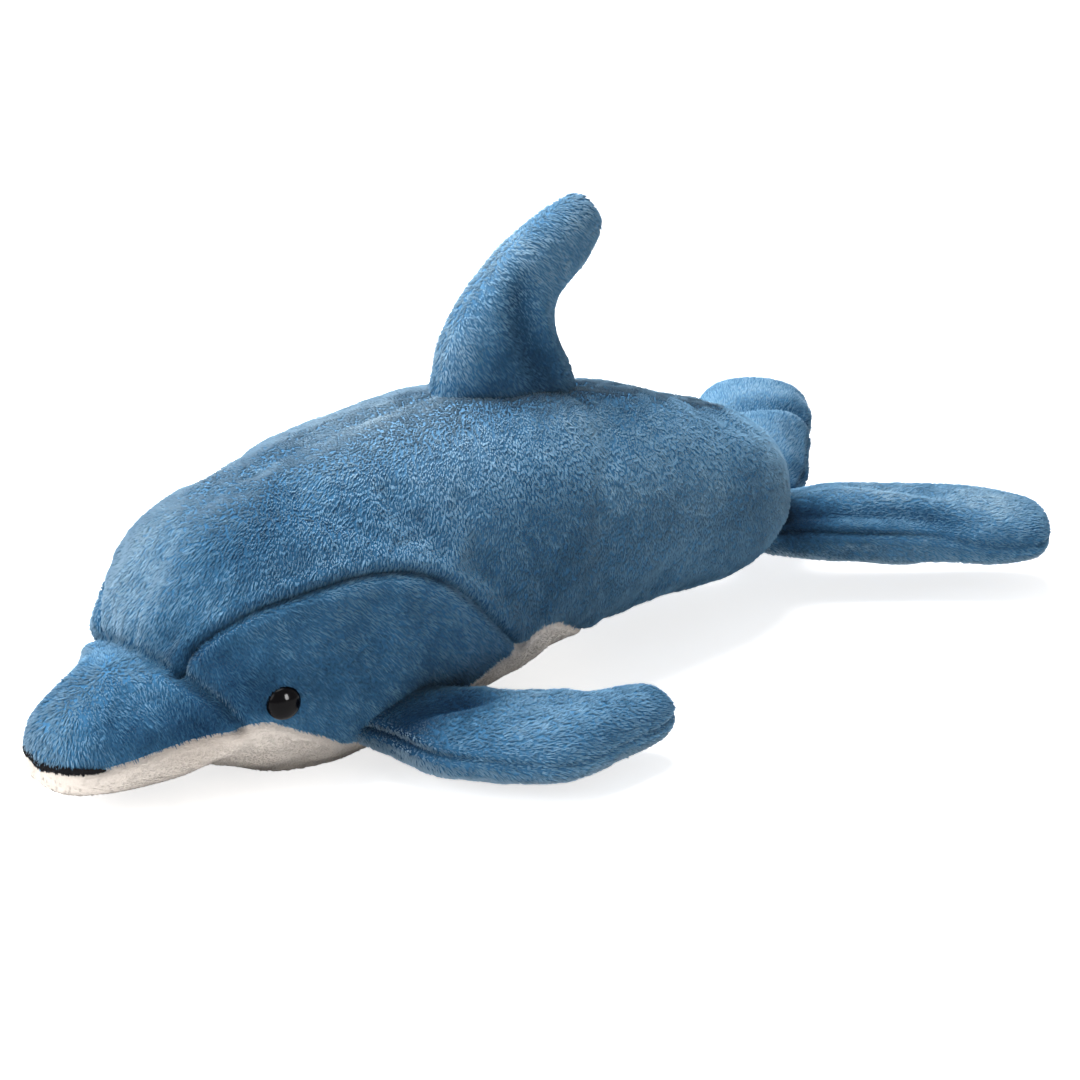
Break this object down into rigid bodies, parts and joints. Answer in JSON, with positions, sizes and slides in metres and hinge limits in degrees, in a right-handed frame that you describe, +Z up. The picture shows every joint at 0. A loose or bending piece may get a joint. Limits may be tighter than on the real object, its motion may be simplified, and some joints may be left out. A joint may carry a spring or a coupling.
{
  "type": "plush dolphin",
  "caption": "Soft stuffed toy dolphin lying on its belly, with padded fins and flukes, a pale belly panel, bead eyes and a stitched mouth.",
  "frame": {"origin": "on the ground, under the middle of the toy's bounding box", "axes": "+X from the snout to the tail, +Z up through the back, -Y towards the toy's left side"},
  "size_m": [0.4392, 0.2282, 0.1774],
  "materials": {
    "blue_pile": "short brushed polyester pile",
    "white_pile": "very short polyester pile",
    "stuffing": "loose polyester fibre",
    "eye_plastic": "polished black",
    "washer_plastic": "moulded",
    "mouth_thread": "embroidery thread"
  },
  "bodies": {
    "root": {"back_panel_left": "blue_pile", "back_panel_right": "blue_pile", "beak_panel": "blue_pile", "belly_panel": "white_pile", "body_stuffing": "stuffing", "cheek_panel_left": "blue_pile", "cheek_panel_right": "blue_pile", "dorsal_fin_left_panel": "blue_pile", "dorsal_fin_right_panel": "blue_pile", "dorsal_fin_stuffing": "stuffing", "eye_left": "eye_plastic", "eye_right": "eye_plastic", "eye_washer_left": "washer_plastic", "eye_washer_right": "washer_plastic", "fluke_left_lower_panel": "blue_pile", "fluke_left_stuffing": "stuffing", "fluke_left_upper_panel": "blue_pile", "fluke_right_lower_panel": "blue_pile", "fluke_right_stuffing": "stuffing", "fluke_right_upper_panel": "blue_pile", "mouth_stitching": "mouth_thread", "pectoral_fin_left_lower_panel": "blue_pile", "pectoral_fin_left_stuffing": "stuffing", "pectoral_fin_left_upper_panel": "blue_pile", "pectoral_fin_right_lower_panel": "blue_pile", "pectoral_fin_right_stuffing": "stuffing", "pectoral_fin_right_upper_panel": "blue_pile"}
  },
  "joints": []
}
